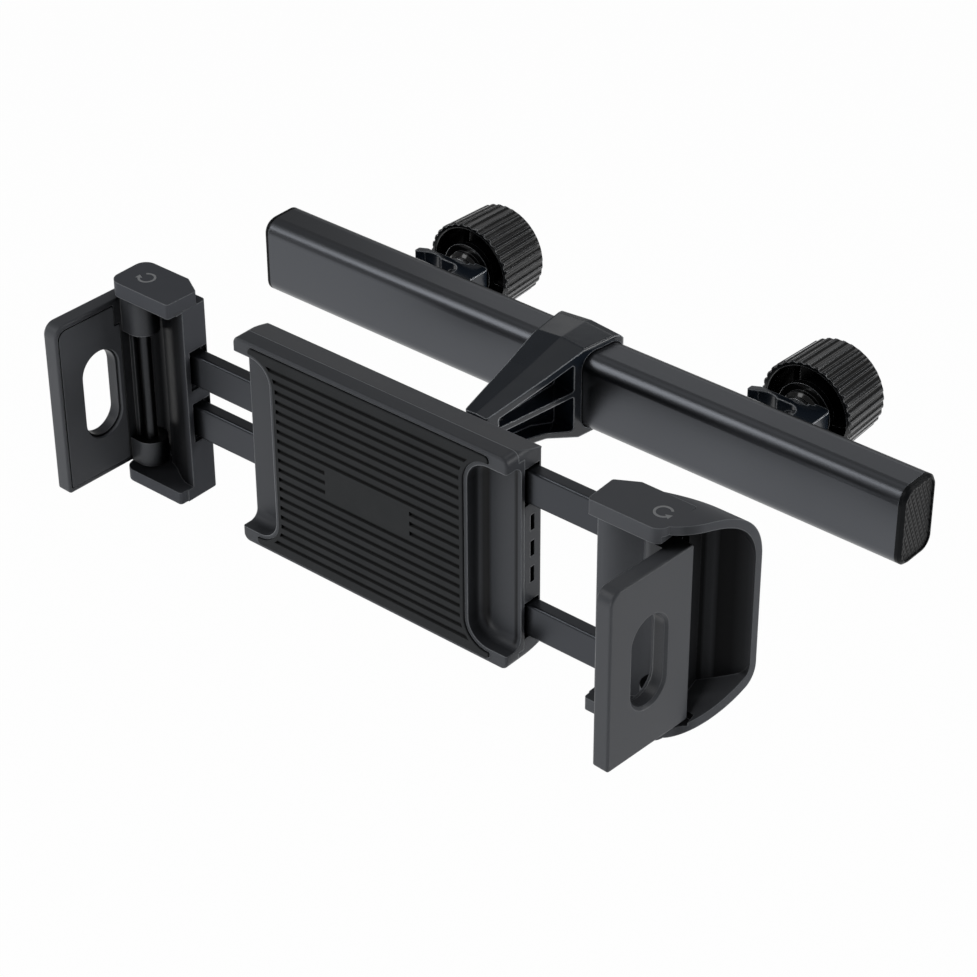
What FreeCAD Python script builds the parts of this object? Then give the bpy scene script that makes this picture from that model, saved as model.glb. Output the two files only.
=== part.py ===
import FreeCAD, Part
import math
import os

os.makedirs("parts", exist_ok=True)
V = FreeCAD.Vector

# Headrest tablet mount. All sizes in millimetres.
# Origin on the axis of the cross bar, midway between the post clamps, +X along the bar,
# +Y toward the headrest posts, -Y toward the person looking at the tablet, +Z up.

# General clearances
gap = 0.3
run_fit = 0.08
push_fit = 0.05
ball_fit = 0.15

# Cross bar
bar_length = 252.2
bar_depth = 17.0
bar_height = 27.0
bar_corner = 5.0
bar_shift = 0.7
bar_wall = 1.6
bar_slot = 9.0
cap_thick = 2.0
cap_chamfer = 0.9
cap_inset = 0.35
cap_plug = 6.0

# Post clamps behind the bar
clamp_x = 67.5
post_dia = 12.0
post_offset = 9.2
pad_wall = 1.0
seat_depth = 1.1
jaw_half_height = 5.5
jaw_plate = 2.4
jaw_tail = 6.8
jaw_heel_in = 3.2
jaw_heel_out = 11.0
jaw_heel_rise = 2.4
bolt_dia = 6.0
slider_head = 4.0
slider_half_height = 8.0
washer_thick = 1.2
washer_dia = 12.4
nut_flats = 10.0
nut_thick = 7.0
knob_front_dia = 33.2
knob_back_dia = 31.6
knob_length = 20.0
knob_rim = 2.0
knob_floor = 3.5
hub_dia = 19.2
hub_step_dia = 14.4
knob_flutes = 34
flute_radius = 1.1
flute_depth = 0.7

# Sliding bracket with its arm and ball
sleeve_wall = 1.7
sleeve_floor = 1.2
sleeve_half_width = 12.1
sleeve_round = 6.0
arm_tip_half_width = 4.3
arm_tip_y = -48.0
roof_rise = 1.1
arm_tip_top = 7.3
arm_tip_bottom = -6.0
arm_web = 2.4
arm_rib = 1.7
ball_dia = 16.0
ball_reach = 70.0
stem_dia = 7.2
stem_pin_dia = 5.0
stem_pin_length = 9.0

# Ball socket and collar nut
liner_wall = 1.1
liner_open_angle = 55.0
liner_slit = 1.0
socket_wall = 1.4
collar_open_angle = 52.0
collar_dia = 29.0
collar_wall = 2.2
collar_grips = 18
collar_first_grip = 3.7

# Holder housing
body_width = 105.0
body_height = 72.6
body_lift = 1.5
body_corner = 2.5
body_taper = 2.8
shell_wall = 2.0
back_wall = 1.5
front_depth = 5.4
scoop_depth = 6.5
scoop_in = 38.0
scoop_half_height = 31.3
scoop_radius = 7.5
scoop_fillet = 3.2
pan_wall = 1.4
screw_dia = 2.4
screw_head_dia = 4.6
screw_head = 1.5
screw_room = 0.15
boss_dia = 5.2
screw_inset = 6.7
vent_height = 5.3
vent_depth = 1.8
vent_pitch = 8.95
vent_lift = 1.1

# Pad on the front of the housing
pad_recess = 1.0
pad_proud = 0.6
pad_rim = 1.3
pad_arm_out = 46.0
pad_half_height = 34.8
groove_pitch = 3.4
groove_width = 1.5
groove_depth = 0.7
patch_half_width = 16.5
patch_half_height = 5.2

# Rails and their guides
rail_height = 11.3
rail_thick = 4.8
rail_play = 0.2
rail_edge = 0.9
left_rail_offset = 9.25
right_rail_inset = 13.3
rail_rest = 27.5
left_rail_in = 0.6
rail_seat = 4.5
rail_mouth = 1.3
lug_length = 3.0
lug_depth = 3.0
guide_length = 11.0
guide_wall = 0.7

# Side clamps
pin_dia = 4.0
pin_inset = 20.5
block_tail = 5.2
block_inset = 0.4
plate_thick = 5.0
plate_front = 8.0
plate_corner = 4.0
plate_chamfer_x = 7.0
plate_chamfer_y = 4.0
wall_behind_rail = 2.3
lip_thick = 2.0
knuckle_dia = 10.5
knuckle_room = 0.9
upper_knuckle = 12.0
lower_knuckle = 8.5
flap_room = 1.2

# Flaps
flap_offset = 3.7
flap_thick = 5.6
flap_reach = 31.5
flap_behind = 2.0
flap_up = 28.8
flap_down = 30.5
flap_corner = 4.0
flap_toe = 1.0
window_depth = 13.5
window_height = 29.5
window_drop = 1.2
window_ahead = 15.2
liner_recess = 1.0
liner_proud = 0.3
liner_margin = 1.6
liner_front_margin = 0.9
liner_notch = 7.0
left_flap_flare = 1.8
right_flap_turn = 3.6

# Pull handle on the right clamp
handle_out = 16.7
handle_back = 29.0
handle_wall = 2.4
handle_round = 19.0
handle_heel = 7.0
handle_rise = 11.6
handle_sag = 1.2
handle_seat = 23.0

# Values that follow from the sizes above
bar_back = bar_depth / 2
pad_face = bar_back + gap
post_r = post_dia / 2
post_y = pad_face + pad_wall + post_r
grip_back = pad_face + pad_wall + seat_depth
jaw_front = post_y + post_r - seat_depth
jaw_back = jaw_front + jaw_plate
heel_back = jaw_back + jaw_heel_rise
washer_back = jaw_back + washer_thick
hub_front = washer_back + gap
rim_front = heel_back + 2.5
knob_back = rim_front + knob_length
bolt_r = bolt_dia / 2
slider_front = bar_back - bar_wall - gap - slider_head
liner_in_r = ball_dia / 2 + ball_fit
liner_mid_r = liner_in_r + liner_wall + ball_fit
socket_r = liner_mid_r + liner_wall + ball_fit
ball_y = -ball_reach
ball_z = body_lift
rail_back = ball_y - socket_r - socket_wall - 0.55
rail_front = rail_back - rail_thick
wall_in = rail_back + 0.5
body_back = wall_in + back_wall
guide_front = rail_front - rail_play - guide_wall
pan_back = guide_front - 0.2
scoop_floor = pan_back - pan_wall
body_front = scoop_floor - scoop_depth
parting = body_front + front_depth
pad_back = body_front + pad_recess
pad_front = body_front - pad_proud
half_w = body_width / 2
half_h = body_height / 2
travel_in = rail_rest - gap
cavity_in = scoop_in - 1.5
rail_tail = -(cavity_in - 0.5 - travel_in)
block_in = half_w + rail_rest
pin_x = block_in + pin_inset
pin_y = scoop_floor + 1.9
block_out = pin_x + block_tail
block_front = pin_y - plate_front
block_back = rail_back + wall_behind_rail
lip_y = pin_y - flap_offset + 1.1
z_mid = body_lift
right_rail_offset = half_h - right_rail_inset
block_top = z_mid + half_h - block_inset
block_bottom = z_mid - half_h + block_inset
flap_top = z_mid + flap_up
flap_bottom = z_mid - flap_down
mouth_top = block_top - plate_thick
mouth_bottom = flap_bottom - flap_room


def point(plane, a, b, c):
    """Place plane coordinates (a, b) at height c along the plane's normal."""
    if plane == "xy":
        return V(a, b, c)
    if plane == "xz":
        return V(a, c, b)
    return V(c, a, b)


def outline(plane, corners, level):
    """Closed wire through corners (a, b, radius), each corner rounded by its radius."""
    count = len(corners)
    marks = []
    for i in range(count):
        a, b, r = corners[i]
        pa, pb = corners[i - 1][:2]
        na, nb = corners[(i + 1) % count][:2]
        before = V(pa - a, pb - b, 0).normalize()
        after = V(na - a, nb - b, 0).normalize()
        here = V(a, b, 0)
        if r <= 0:
            marks.append((here, here, None))
            continue
        half = before.getAngle(after) / 2
        reach = r / math.tan(half)
        middle = (before + after).normalize()
        centre = here + middle * (r / math.sin(half))
        marks.append((here + before * reach, here + after * reach, centre - middle * r))
    edges = []
    for i in range(count):
        first, last, crown = marks[i]
        if crown is not None:
            ends = [point(plane, p.x, p.y, level) for p in (first, crown, last)]
            edges.append(Part.Arc(ends[0], ends[1], ends[2]).toShape())
        start = marks[i][1]
        stop = marks[(i + 1) % count][0]
        if start.distanceToPoint(stop) > 1e-6:
            p = point(plane, start.x, start.y, level)
            q = point(plane, stop.x, stop.y, level)
            edges.append(Part.LineSegment(p, q).toShape())
    return Part.Wire(Part.__sortEdges__(edges))


def prism(plane, corners, low, high):
    """Solid with the given rounded outline between two levels of the plane's normal."""
    face = Part.Face(outline(plane, corners, low))
    return face.extrude(point(plane, 0, 0, high - low))


def slab(plane, a0, a1, b0, b1, low, high, r=0.0):
    """Rounded rectangle as a solid."""
    return prism(plane, [(a0, b0, r), (a1, b0, r), (a1, b1, r), (a0, b1, r)], low, high)


def block(x0, x1, y0, y1, z0, z1):
    return Part.makeBox(x1 - x0, y1 - y0, z1 - z0, V(x0, y0, z0))


def rod_y(x, z, r, y0, y1):
    return Part.makeCylinder(r, y1 - y0, V(x, y0, z), V(0, 1, 0))


def rod_z(x, y, r, z0, z1):
    return Part.makeCylinder(r, z1 - z0, V(x, y, z0), V(0, 0, 1))


def hexagon_y(x, z, flats, y0, y1):
    r = flats / math.sqrt(3)
    pts = [(x + r * math.cos(math.radians(60 * k)), z + r * math.sin(math.radians(60 * k)), 0)
           for k in range(6)]
    return prism("xz", pts, y0, y1)


def spin_y(profile, x, z):
    """Turn a closed (radius, y) profile round a line along Y through (x, z)."""
    pts = [V(r, y, 0) for r, y in profile]
    face = Part.Face(Part.makePolygon(pts + [pts[0]]))
    turned = face.revolve(V(0, 0, 0), V(0, 1, 0), 360)
    turned.translate(V(x, 0, z))
    return turned


def soften(shape, radius, wanted):
    """Fillet the edges that the test picks; edges too small for the radius stay sharp."""
    picked = [e for e in shape.Edges if wanted(e)]
    if not picked:
        return shape
    try:
        done = shape.makeFillet(radius, picked)
        if done.isValid() and done.Volume > 0:
            return done
    except (Part.OCCError, ValueError):
        pass
    for edge in picked:
        middle = edge.CenterOfMass
        match = [e for e in shape.Edges if e.CenterOfMass.distanceToPoint(middle) < 1e-4]
        try:
            done = shape.makeFillet(radius, match)
            if done.isValid():
                shape = done
        except (Part.OCCError, ValueError):
            continue
    return shape


def mirrored(shape):
    return shape.mirror(V(0, 0, 0), V(1, 0, 0))


def left_arm(shape):
    """Mirror a right-hand arm piece and set it at the left arm's own resting place."""
    copy = mirrored(shape)
    copy.translate(V(left_rail_in, 0, 0))
    return copy


def save(shape, name):
    shape = shape.removeSplitter() if shape.ShapeType == "Compound" else shape
    if len(shape.Solids) != 1:
        print("WARNING", name, "has", len(shape.Solids), "solids")
    shape.Solids[0].exportStep("parts/" + name + ".step")
    box = shape.BoundBox
    print(name, "valid" if shape.isValid() else "BROKEN", round(shape.Volume), "mm3",
          "x", round(box.XMin, 1), round(box.XMax, 1), "y", round(box.YMin, 1), round(box.YMax, 1),
          "z", round(box.ZMin, 1), round(box.ZMax, 1))


# Cross bar: a rounded rectangular tube with one slot along its rear face
tube_end = bar_length / 2 - cap_thick
half_bar = bar_height / 2
bar = slab("yz", -bar_back, bar_back, -half_bar, half_bar, -tube_end, tube_end, bar_corner)
hollow_y = bar_back - bar_wall
hollow_z = half_bar - bar_wall
bar = bar.cut(slab("yz", -hollow_y, hollow_y, -hollow_z, hollow_z, -tube_end, tube_end,
                   bar_corner - bar_wall))
bar = bar.cut(block(-tube_end, tube_end, 0, bar_back + 1, -bar_slot / 2, bar_slot / 2))
bar.translate(V(bar_shift, 0, 0))
save(bar, "cross_bar")


def end_cap():
    """Cap of the right-hand bar end: bevelled rim, sunk face and a plug inside the tube."""
    end = bar_length / 2
    cap = slab("yz", -bar_back, bar_back, -half_bar, half_bar, tube_end, end, bar_corner)
    rim = [e for e in cap.Edges if e.BoundBox.XMin > end - 1e-3]
    cap = cap.makeChamfer(cap_chamfer, rim)
    inset = cap_chamfer + 0.5
    cap = cap.cut(slab("yz", -bar_back + inset, bar_back - inset, -half_bar + inset, half_bar - inset,
                       end - cap_inset, end + 1, bar_corner - inset))
    edge = bar_wall + push_fit
    plug = slab("yz", -bar_back + edge, bar_back - edge, -half_bar + edge, half_bar - edge,
                tube_end - cap_plug, tube_end, bar_corner - edge)
    plug = plug.cut(block(tube_end - cap_plug, tube_end, -bar_back + edge + 1.5, bar_back,
                          -half_bar + edge + 1.5, half_bar - edge - 1.5))
    return cap.fuse(plug).removeSplitter()


right_cap = end_cap()
left_cap = mirrored(right_cap)
right_cap.translate(V(bar_shift, 0, 0))
left_cap.translate(V(bar_shift, 0, 0))
save(right_cap, "end_cap_right")
save(left_cap, "end_cap_left")


def knob(x):
    """Fluted cup knob, open toward the bar, on its own hub."""
    front_r = knob_front_dia / 2
    back_r = knob_back_dia / 2
    inner = front_r - knob_rim
    floor_y = knob_back - knob_floor
    bevel = 0.8
    body = spin_y([(0, hub_front), (hub_step_dia / 2 - 1, hub_front),
                   (hub_step_dia / 2, hub_front + 1), (hub_step_dia / 2, rim_front - 1),
                   (hub_dia / 2, rim_front - 1), (hub_dia / 2, rim_front + 1.2),
                   (hub_dia / 2 - 1.6, rim_front + 1.2), (hub_dia / 2 - 1.6, floor_y),
                   (inner - 1, floor_y), (inner, floor_y - 2), (inner, rim_front + 0.4),
                   (inner + 0.4, rim_front), (front_r - 0.4, rim_front),
                   (front_r, rim_front + 0.4), (back_r, knob_back - bevel),
                   (back_r - bevel, knob_back), (0, knob_back)], x, 0)
    cutters = []
    for k in range(knob_flutes):
        angle = 2 * math.pi * k / knob_flutes
        radial = V(math.cos(angle), 0, math.sin(angle))
        out = flute_radius - flute_depth
        low = V(x, rim_front - 0.5, 0) + radial * (front_r + out)
        high = V(x, knob_back + 0.5, 0) + radial * (back_r + out)
        cutters.append(Part.makeCylinder(flute_radius, low.distanceToPoint(high), low, high - low))
    body = body.cut(Part.makeCompound(cutters))
    body = body.cut(hexagon_y(x, 0, nut_flats + 2 * push_fit, hub_front - 1, hub_front + nut_thick + 0.4))
    body = body.cut(rod_y(x, 0, bolt_r + gap, hub_front, knob_back - 5))
    return body


def post_clamp(x, side):
    """Slider in the bar, bolt, grip pad, jaw, washer and knob of one post clamp."""
    post_x = x - post_offset
    jaw_left = post_x - jaw_tail
    neck_left = jaw_left + 1
    neck_right = x + jaw_heel_in + 4
    head_back = bar_back - bar_wall - gap
    slider = block(neck_left, neck_right, slider_front, head_back,
                   -slider_half_height, slider_half_height)
    slider = slider.fuse(block(neck_left, neck_right, slider_front, pad_face,
                               -bar_slot / 2 + gap, bar_slot / 2 - gap)).removeSplitter()
    slider = slider.cut(rod_y(x, 0, bolt_r + push_fit, slider_front - 1, pad_face + 1))
    save(slider, "clamp_slider_" + side)

    head_front = slider_front - 2.6
    bolt_end = hub_front + nut_thick + 8
    bolt = rod_y(x, 0, bolt_r, slider_front - 0.5, bolt_end)
    bolt = bolt.makeChamfer(0.6, [e for e in bolt.Edges if e.BoundBox.YMin > bolt_end - 1e-3])
    bolt = bolt.fuse(hexagon_y(x, 0, nut_flats, head_front, slider_front))
    save(bolt.removeSplitter(), "clamp_bolt_" + side)

    seat = rod_z(post_x, post_y, post_r, -knob_front_dia, knob_front_dia)
    pad = slab("xz", jaw_left, x - bolt_r - 0.6, -jaw_half_height - 1.5, jaw_half_height + 1.5,
               pad_face, grip_back, 1.5)
    pad = pad.cut(seat)
    save(pad, "grip_pad_" + side)

    h = jaw_half_height
    inner = x + jaw_heel_in
    outer = x + jaw_heel_out
    heel_front = bar_back + gap + 0.2
    jaw = prism("xy", [(jaw_left, jaw_front - 1.6, 0.4), (jaw_left + 3.2, jaw_front, 0),
                       (inner, jaw_front, 4.0), (inner, heel_front, 0.8), (outer, heel_front, 1.5),
                       (outer, heel_back, 2.0), (inner, heel_back, 0.5), (inner - 2, jaw_back, 1.5),
                       (jaw_left + 2.6, jaw_back, 1.0), (jaw_left, jaw_back - 1.4, 0.4)], -h, h)
    jaw = jaw.cut(seat)
    jaw = jaw.cut(rod_y(x, 0, bolt_r + run_fit, 0, heel_back + 5))
    jaw = jaw.cut(rod_y(x, 0, washer_dia / 2 + gap, jaw_back, heel_back + 5))
    jaw = jaw.cut(rod_y(x, 0, hub_step_dia / 2 + gap, washer_back, heel_back + 5))
    save(jaw, "clamp_jaw_" + side)

    washer = rod_y(x, 0, washer_dia / 2, jaw_back, washer_back)
    washer = washer.cut(rod_y(x, 0, bolt_r + run_fit, jaw_back - 1, washer_back + 1))
    save(washer, "knob_washer_" + side)

    save(knob(x), "knob_" + side)
    nut = hexagon_y(x, 0, nut_flats, hub_front + 0.4, hub_front + 0.4 + nut_thick)
    nut = nut.cut(rod_y(x, 0, bolt_r + run_fit, hub_front, hub_front + nut_thick + 2))
    save(nut, "knob_nut_" + side)


post_clamp(-clamp_x, "left")
post_clamp(clamp_x, "right")

# Sliding bracket: sleeve round the bar that runs out into a tapering arm
sleeve_top = half_bar + gap + sleeve_wall
sleeve_bottom = -half_bar - gap - sleeve_floor
sleeve_back = bar_back + gap + sleeve_wall
arm_start = -bar_back - gap - sleeve_wall - 1.0


def arm_half(y):
    """Half width of the bracket in plan at a given y."""
    share = (sleeve_back - y) / (sleeve_back - arm_tip_y)
    return sleeve_half_width + (arm_tip_half_width - sleeve_half_width) * share


knee_y = arm_start - 12
knee_top = sleeve_top - 3.6
roof_fall = roof_rise / sleeve_half_width
plan = [(-arm_half(sleeve_back), sleeve_back, 2.5), (-arm_half(arm_tip_y), arm_tip_y, 1.0),
        (arm_half(arm_tip_y), arm_tip_y, 1.0), (arm_half(sleeve_back), sleeve_back, 2.5)]
tall = 2 * sleeve_top + ball_dia
bracket = prism("xy", plan, -tall, tall)
underside = [(sleeve_back, sleeve_bottom, 1.5), (sleeve_back, tall, 0), (arm_tip_y, tall, 0),
             (arm_tip_y, arm_tip_bottom, 1.0), (knee_y, sleeve_bottom + 5.4, 6.0),
             (arm_start + 1.5, sleeve_bottom, 3.0)]
bracket = bracket.common(prism("yz", underside, -tall, tall))
crown = sleeve_top + roof_rise
bend = []
for k in range(4):
    a = math.radians(30 * k)
    bend.append((sleeve_back - sleeve_round * (1 - math.cos(a)), crown - sleeve_round * (1 - math.sin(a)), 0))
ridge = [(sleeve_back, -tall, 0)] + bend
ridge += [(-bar_back + 1, crown, 0), (knee_y, knee_top + roof_rise, 0),
          (arm_tip_y, arm_tip_top + roof_rise, 0), (arm_tip_y, -tall, 0)]
roof = Part.Face(outline("yz", ridge, 0))
wide = 2 * sleeve_half_width
right_roof = roof.extrude(V(wide, 0, -wide * roof_fall))
left_roof = roof.extrude(V(-wide, 0, -wide * roof_fall))
bracket = bracket.common(right_roof.fuse(left_roof))
bracket = bracket.removeSplitter()
bracket = soften(bracket, 0.8, lambda e: e.CenterOfMass.z > 3 and e.BoundBox.YLength > 3
                 and abs(e.CenterOfMass.x) > 3)
clear = bar_back + gap
tunnel = slab("yz", -clear, clear, -half_bar - gap, half_bar + gap, -wide, wide, bar_corner + gap)
bracket = bracket.cut(tunnel)
rib_top = ball_z + arm_rib / 2
rib_low = ball_z - arm_rib / 2
pocket_end = arm_tip_y + 5
pocket_start = arm_start - 0.5
top_slope = (knee_top - arm_tip_top) / (knee_y - arm_tip_y)
upper = [(pocket_start, sleeve_top - 3.4, 1.0), (knee_y, sleeve_top - 5.8, 0),
         (pocket_end, arm_tip_top + top_slope * 5 - 2.2, 0.6),
         (pocket_end, rib_top + 0.4, 0.6), (pocket_start, rib_top, 1.0)]
lower = [(pocket_start, rib_low, 1.0), (pocket_end, rib_low, 0.6),
         (pocket_end, arm_tip_bottom + 1.8, 0.6), (knee_y, sleeve_bottom + 7.4, 0),
         (pocket_start, sleeve_bottom + 3.2, 1.0)]
for shape in (upper, lower):
    cutter = prism("yz", shape, arm_web / 2, wide)
    bracket = bracket.cut(cutter)
    bracket = bracket.cut(mirrored(cutter))
bracket = bracket.cut(rod_y(0, ball_z, stem_pin_dia / 2 + push_fit, arm_tip_y - 1,
                            arm_tip_y + stem_pin_length + 0.5))
save(bracket, "slider_bracket")

centre = V(0, ball_y, ball_z)
ball = Part.makeSphere(ball_dia / 2, centre)
ball = ball.fuse(rod_y(0, ball_z, stem_dia / 2, ball_y, arm_tip_y))
ball = ball.fuse(rod_y(0, ball_z, stem_pin_dia / 2, arm_tip_y - 1, arm_tip_y + stem_pin_length))
save(ball.removeSplitter(), "arm_ball")


def opening_cone(angle):
    """Cone behind the ball centre that clears the arm's stem."""
    length = 24.0
    return Part.makeCone(0, length * math.tan(math.radians(angle)), length, centre, V(0, 1, 0))


def liner(inner):
    """Slit spherical cup round the ball, open toward the bracket."""
    cup = Part.makeSphere(inner + liner_wall, centre).cut(Part.makeSphere(inner, centre))
    cup = cup.cut(opening_cone(liner_open_angle))
    reach = inner + liner_wall + 1
    slit = liner_slit / 2
    cup = cup.cut(block(-reach, reach, ball_y - 3, ball_y + reach, ball_z - slit, ball_z + slit))
    cup = cup.cut(block(-slit, slit, ball_y - 3, ball_y + reach, ball_z - reach, ball_z + reach))
    return cup


save(liner(liner_in_r), "inner_liner")
save(liner(liner_mid_r), "outer_liner")

boss_r = collar_dia / 2 - collar_wall
boss_back = ball_y - 1.5
collar_front = body_back + gap
collar_back = ball_y + socket_r * math.cos(math.radians(collar_open_angle)) + 1.0
collar = rod_y(0, ball_z, collar_dia / 2, collar_front, collar_back)
collar = collar.makeChamfer(1.0, [e for e in collar.Edges if e.BoundBox.YLength < 1e-6])
collar = collar.cut(rod_y(0, ball_z, boss_r + run_fit, collar_front - 1, boss_back + gap))
collar = collar.cut(Part.makeSphere(socket_r, centre)).cut(opening_cone(collar_open_angle))
grips = []
for k in range(collar_grips):
    a = 2 * math.pi * k / collar_grips
    grips.append(rod_y((collar_dia / 2 + 0.7) * math.cos(a), ball_z + (collar_dia / 2 + 0.7) * math.sin(a),
                       1.4, collar_front - 1, collar_back + 1))
collar = collar.cut(Part.makeCompound(grips))
collar.rotate(centre, V(0, 1, 0), collar_first_grip)
save(collar, "collar_nut")


def scoop(grow, floor):
    """Cutter of the right-hand side scoop, open to the front and to the side."""
    tool = prism("xz", [(scoop_in - grow, z_mid - scoop_half_height - grow, scoop_radius + grow),
                        (half_w + 20, z_mid - scoop_half_height - grow, 0),
                        (half_w + 20, z_mid + scoop_half_height + grow, 0),
                        (scoop_in - grow, z_mid + scoop_half_height + grow, scoop_radius + grow)],
                 body_front - 10, floor)
    return tool


def pad_outline(shrink, low, high):
    """I-shaped pad area between the scoops, drawn in by the given margin."""
    area = slab("xz", -pad_arm_out + shrink, pad_arm_out - shrink,
                z_mid - pad_half_height + shrink, z_mid + pad_half_height - shrink, low, high,
                max(1.4 - shrink, 0.2))
    cutter = scoop(pad_rim + shrink, high + 1)
    return area.cut(cutter).cut(mirrored(cutter))


# Front shell: lips, side scoops with their floors, and the bed of the pad
front_shell = slab("xz", -half_w, half_w, z_mid - half_h, z_mid + half_h, body_front, parting, body_corner)
front_shell = soften(front_shell, 0.8, lambda e: e.BoundBox.YMax < body_front + 1e-3)
bed_back = body_front + pad_recess + 1.6
front_shell = front_shell.cut(block(-half_w + shell_wall, half_w - shell_wall, bed_back, parting + 1,
                                    z_mid - half_h + shell_wall, z_mid + half_h - shell_wall))
pan_half = scoop_half_height + 1.5
scoop_tool = scoop(0, scoop_floor)
scoop_tool = soften(scoop_tool, scoop_fillet,
                    lambda e: e.BoundBox.YMin > scoop_floor - 1e-3 and e.BoundBox.XMax < half_w + 19.9
                    or (e.BoundBox.YMin > scoop_floor - 1e-3 and e.BoundBox.XLength > 10))
for turn in (False, True):
    pan = slab("xz", cavity_in, half_w, z_mid - pan_half, z_mid + pan_half, body_front + 1, pan_back, 0)
    cutter = scoop_tool
    if turn:
        pan = mirrored(pan)
        cutter = mirrored(cutter)
    front_shell = front_shell.fuse(pan).cut(cutter)
front_shell = front_shell.cut(pad_outline(-push_fit, body_front - 1, pad_back))
boss_level = (pan_back + wall_in) / 2
screw_x = half_w - screw_inset
left_screw_offset = left_rail_offset + rail_height / 2 + 1.5 * boss_dia
screw_places = [(-screw_x, left_screw_offset), (screw_x, left_rail_offset)]
screw_spots = []
for sx, sz in screw_places:
    screw_spots.append((sx, z_mid + sz))
    screw_spots.append((sx, z_mid - sz))
for sx, sz in screw_spots:
    front_shell = front_shell.fuse(rod_y(sx, sz, boss_dia / 2, pan_back - 0.5, boss_level))
    front_shell = front_shell.cut(rod_y(sx, sz, screw_dia / 2, pan_back, boss_level + 1))
save(front_shell.removeSplitter(), "front_shell")

# Rear shell: tapering tray with the ball socket, rail openings and side vents
z_front = half_h
z_back = half_h - body_taper
outer = prism("yz", [(parting, z_mid - z_front, 0), (body_back, z_mid - z_back, 0),
                     (body_back, z_mid + z_back, 0), (parting, z_mid + z_front, 0)], -half_w, half_w)
outer = outer.common(slab("xz", -half_w, half_w, z_mid - half_h, z_mid + half_h,
                          parting - 1, body_back + 1, body_corner))
outer = soften(outer, 1.2, lambda e: e.BoundBox.YMin > body_back - 1e-3)
inner = prism("yz", [(parting - 1, z_mid - z_front + shell_wall, 0),
                     (wall_in, z_mid - z_back + shell_wall, 0),
                     (wall_in, z_mid + z_back - shell_wall, 0),
                     (parting - 1, z_mid + z_front - shell_wall, 0)],
              -half_w + shell_wall, half_w - shell_wall)
rear_shell = outer.cut(inner)
for side in (1, -1):
    x0, x1 = sorted((side * (cavity_in - 1), side * (half_w + 1)))
    rear_shell = rear_shell.cut(block(x0, x1, parting - 1, pan_back + 0.1,
                                      z_mid - pan_half - 0.1, z_mid + pan_half + 0.1))
    offset = right_rail_offset if side > 0 else left_rail_offset
    for up in (1, -1):
        mid = z_mid + up * offset
        half = rail_height / 2 + 0.6
        x0, x1 = sorted((side * (half_w - shell_wall - 1), side * (half_w + 1)))
        rear_shell = rear_shell.cut(block(x0, x1, pan_back - 1, wall_in, mid - half, mid + half))
vent_y = (rail_back + rail_front) / 2
for k in (-1, 0, 1):
    mid = z_mid + k * vent_pitch + vent_lift
    rear_shell = rear_shell.cut(block(half_w - shell_wall - 1, half_w + 1, vent_y - vent_depth / 2,
                                      vent_y + vent_depth / 2, mid - vent_height / 2, mid + vent_height / 2))
rear_shell = rear_shell.fuse(rod_y(0, ball_z, boss_r, ball_y - socket_r - socket_wall, boss_back))
rear_shell = rear_shell.cut(Part.makeSphere(socket_r, centre))
for sx, sz in screw_spots:
    rear_shell = rear_shell.fuse(rod_y(sx, sz, boss_dia / 2, boss_level, body_back - 0.5))
    rear_shell = rear_shell.cut(rod_y(sx, sz, screw_dia / 2 + 0.1, boss_level - 1, body_back + 1))
    rear_shell = rear_shell.cut(rod_y(sx, sz, screw_head_dia / 2 + screw_room,
                                      body_back - screw_head, body_back + 1))
save(rear_shell.removeSplitter(), "rear_shell")

for number, (sx, sz) in enumerate(screw_spots, 1):
    seat_y = body_back - screw_head
    screw = rod_y(sx, sz, screw_head_dia / 2, seat_y, seat_y + screw_head - 0.3)
    screw = screw.cut(hexagon_y(sx, sz, 2.2, seat_y + 0.3, seat_y + screw_head))
    screw = screw.fuse(rod_y(sx, sz, screw_dia / 2 - push_fit, pan_back + 0.4, seat_y))
    save(screw.removeSplitter(), "housing_screw_" + str(number))

# Front pad with its grooves and a smooth patch in the middle
pad = pad_outline(0, pad_front, pad_back)
pad = soften(pad, 0.35, lambda e: e.BoundBox.YMax < pad_front + 1e-3)
field = pad_outline(1.3, pad_front - 1, pad_front + groove_depth)
field = field.common(block(-scoop_in - 3, scoop_in + 3, pad_front - 2, pad_back,
                           z_mid - half_h, z_mid + half_h))
field = field.cut(slab("xz", -patch_half_width, patch_half_width, z_mid - patch_half_height,
                       z_mid + patch_half_height, pad_front - 2, pad_back, 1.0))
rows = int((pad_half_height - 2.2) / groove_pitch)
teeth = []
for k in range(-rows, rows + 1):
    mid = z_mid + k * groove_pitch
    wide = groove_width / 2
    teeth.append(prism("yz", [(pad_front - 1, mid - wide - 0.35, 0), (pad_front, mid - wide, 0),
                              (pad_front + groove_depth, mid - wide * 0.45, 0),
                              (pad_front + groove_depth, mid + wide * 0.45, 0),
                              (pad_front, mid + wide, 0), (pad_front - 1, mid + wide + 0.35, 0)],
                       -half_w, half_w))
pad = pad.cut(field.common(Part.makeCompound(teeth)))
save(pad, "front_pad")


def guide(side, offset):
    """Low-friction block at a housing end that carries one pair of rails."""
    out = half_w - shell_wall - 0.2
    inn = out - guide_length
    reach = offset + rail_height / 2 + 1.6
    body = block(inn, out, guide_front, wall_in, z_mid - reach, z_mid + reach)
    for up in (1, -1):
        mid = z_mid + up * offset
        half = rail_height / 2 + rail_play
        body = body.cut(block(inn - 1, out + 1, rail_front - rail_play, wall_in + 1, mid - half, mid + half))
    core = offset - rail_height / 2 - 1.6
    if core > boss_dia:
        body = body.cut(block(inn + 2, out + 1, guide_front - 1, wall_in + 1, z_mid - core, z_mid + core))
    return body if side > 0 else mirrored(body)


save(guide(1, right_rail_offset), "right_guide")
save(guide(-1, left_rail_offset), "left_guide")


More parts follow.
